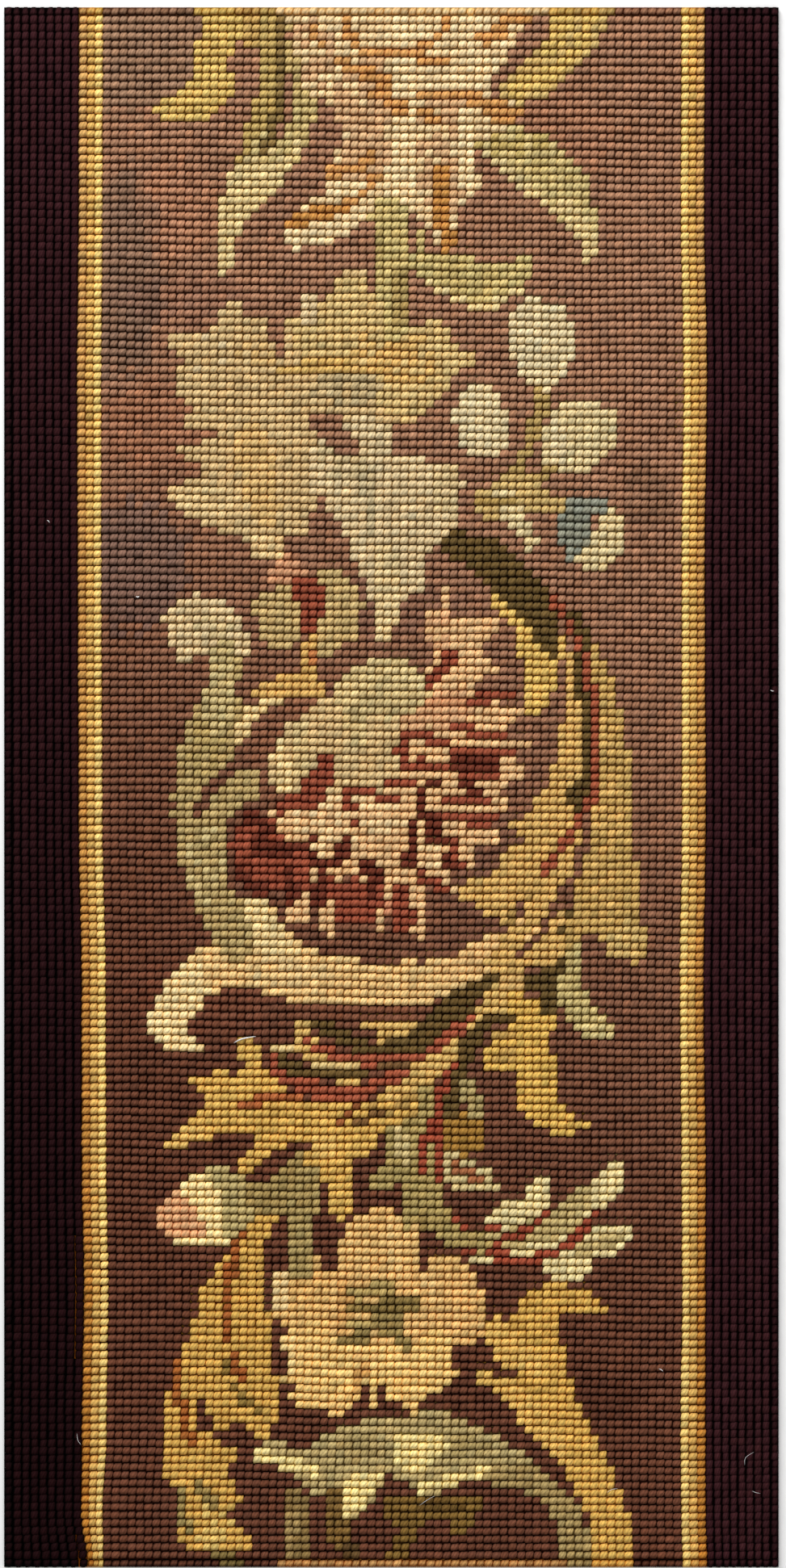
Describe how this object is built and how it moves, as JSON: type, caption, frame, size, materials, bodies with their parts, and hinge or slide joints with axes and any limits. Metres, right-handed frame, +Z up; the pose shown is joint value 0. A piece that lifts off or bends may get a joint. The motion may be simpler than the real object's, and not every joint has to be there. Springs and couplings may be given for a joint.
{
  "type": "needlepoint canvas panel",
  "caption": "Long flat textile panel: wool needlepoint worked on one canvas, with a flowered band between two gold lines and dark borders, for upholstery, a cushion front or a wall strip.",
  "frame": {"origin": "middle of the underside, on the surface that the panel lies on", "axes": "+Z up out of the worked face, +Y along the panel's length towards its head, +X across it to the right as it is looked at"},
  "size_m": [0.2394, 0.482, 0.003],
  "materials": {
    "ground_wool": "matte wool tent stitch, brown with lighter and redder dye lots",
    "gold_wool": "matte wool tent stitch, gold",
    "border_wool": "matte wool tent stitch, near-black wine",
    "motif_wool": "matte wool tent stitch in cream, gold, olive, sage, pink and red",
    "canvas": "plain cotton canvas with the wool's crossings on its reverse"
  },
  "bodies": {
    "root": {"needlepoint_panel": "ground_wool"}
  },
  "joints": []
}
